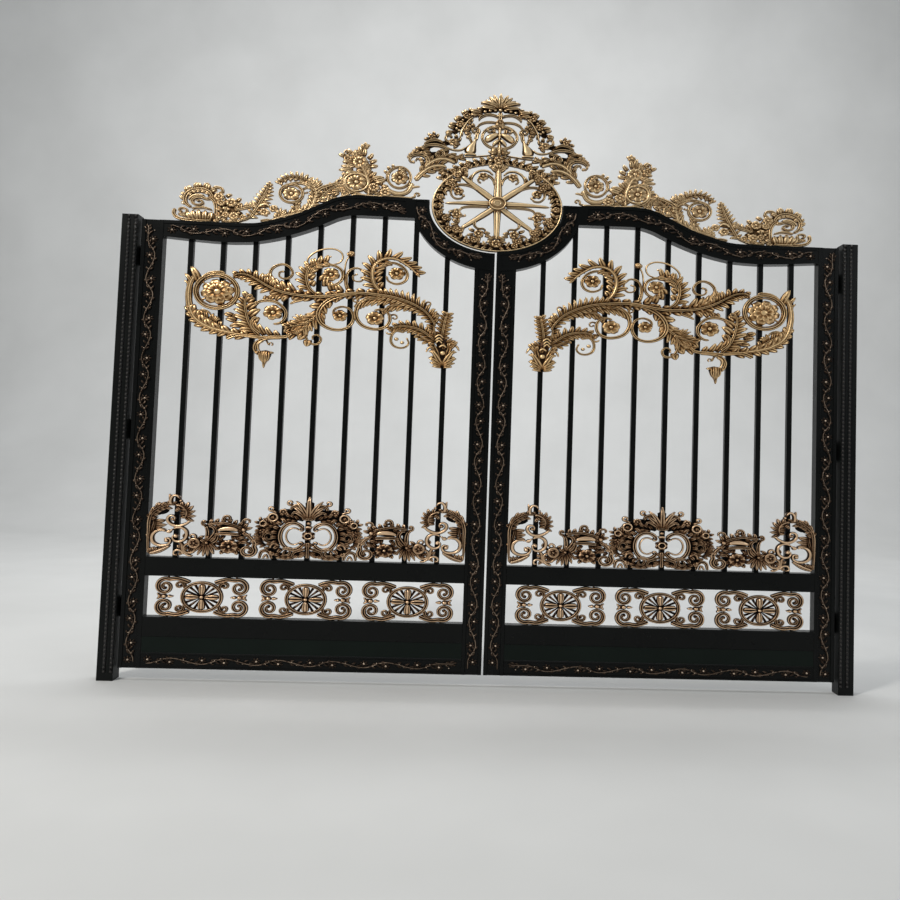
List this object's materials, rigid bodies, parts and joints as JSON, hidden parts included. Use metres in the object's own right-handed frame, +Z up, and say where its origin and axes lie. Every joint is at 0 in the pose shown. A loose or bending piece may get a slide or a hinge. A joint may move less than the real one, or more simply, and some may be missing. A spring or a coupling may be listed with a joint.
{
  "type": "wrought iron driveway gate",
  "caption": "Double leaf driveway gate with a welded black frame, square bars, gilded scroll ornament and a crested oval medallion, hung on two steel posts.",
  "frame": {"origin": "middle of the underside of the left post", "axes": "+X along the opening from the left post to the right one as seen from the street, +Y inward, the way the leaves open, +Z up"},
  "size_m": [3.784, 0.11, 3.058],
  "materials": {
    "post_paint": "satin",
    "frame_paint": "satin",
    "bar_paint": "satin",
    "panel_paint": "satin",
    "hinge_steel": "satin",
    "crest_gilt": "antique gilt",
    "scroll_gilt": "antique gilt",
    "cast_gilt": "antique gilt"
  },
  "bodies": {
    "posts": {"left_post": "post_paint", "right_post": "post_paint", "left_hinge_pins": "hinge_steel", "right_hinge_pins": "hinge_steel"},
    "left_leaf": {"left_hinge_stile": "frame_paint", "left_meeting_stile": "frame_paint", "left_top_rail": "frame_paint", "left_cradle": "frame_paint", "left_mid_rail": "frame_paint", "left_band_rail": "frame_paint", "left_bottom_rail": "frame_paint", "left_kick_panel": "panel_paint", "left_bars": "bar_paint", "left_hinge_knuckles": "hinge_steel", "left_scroll_panel": "scroll_gilt", "left_lower_crest": "cast_gilt", "left_corner_scrolls": "cast_gilt", "left_band_rosettes": "cast_gilt", "left_crown_end": "crest_gilt", "left_crown_scrolls": "crest_gilt"},
    "right_leaf": {"right_hinge_stile": "frame_paint", "right_meeting_stile": "frame_paint", "right_top_rail": "frame_paint", "right_cradle": "frame_paint", "right_mid_rail": "frame_paint", "right_band_rail": "frame_paint", "right_bottom_rail": "frame_paint", "right_kick_panel": "panel_paint", "right_bars": "bar_paint", "right_hinge_knuckles": "hinge_steel", "right_scroll_panel": "scroll_gilt", "right_lower_crest": "cast_gilt", "right_corner_scrolls": "cast_gilt", "right_band_rosettes": "cast_gilt", "right_crown_end": "crest_gilt", "right_crown_scrolls": "crest_gilt", "medallion": "crest_gilt", "medallion_hub": "crest_gilt", "pediment": "crest_gilt", "pediment_ring": "crest_gilt"}
  },
  "joints": [
    {"name": "left_leaf_hinge", "type": "hinge", "parent": "posts", "child": "left_leaf", "pos_m": [0.046, 0.056, 0], "axis": [0, 0, 1], "range_deg": [0, 90]},
    {"name": "right_leaf_hinge", "type": "hinge", "parent": "posts", "child": "right_leaf", "pos_m": [3.658, 0.056, 0], "axis": [0, 0, -1], "range_deg": [0, 90]}
  ]
}
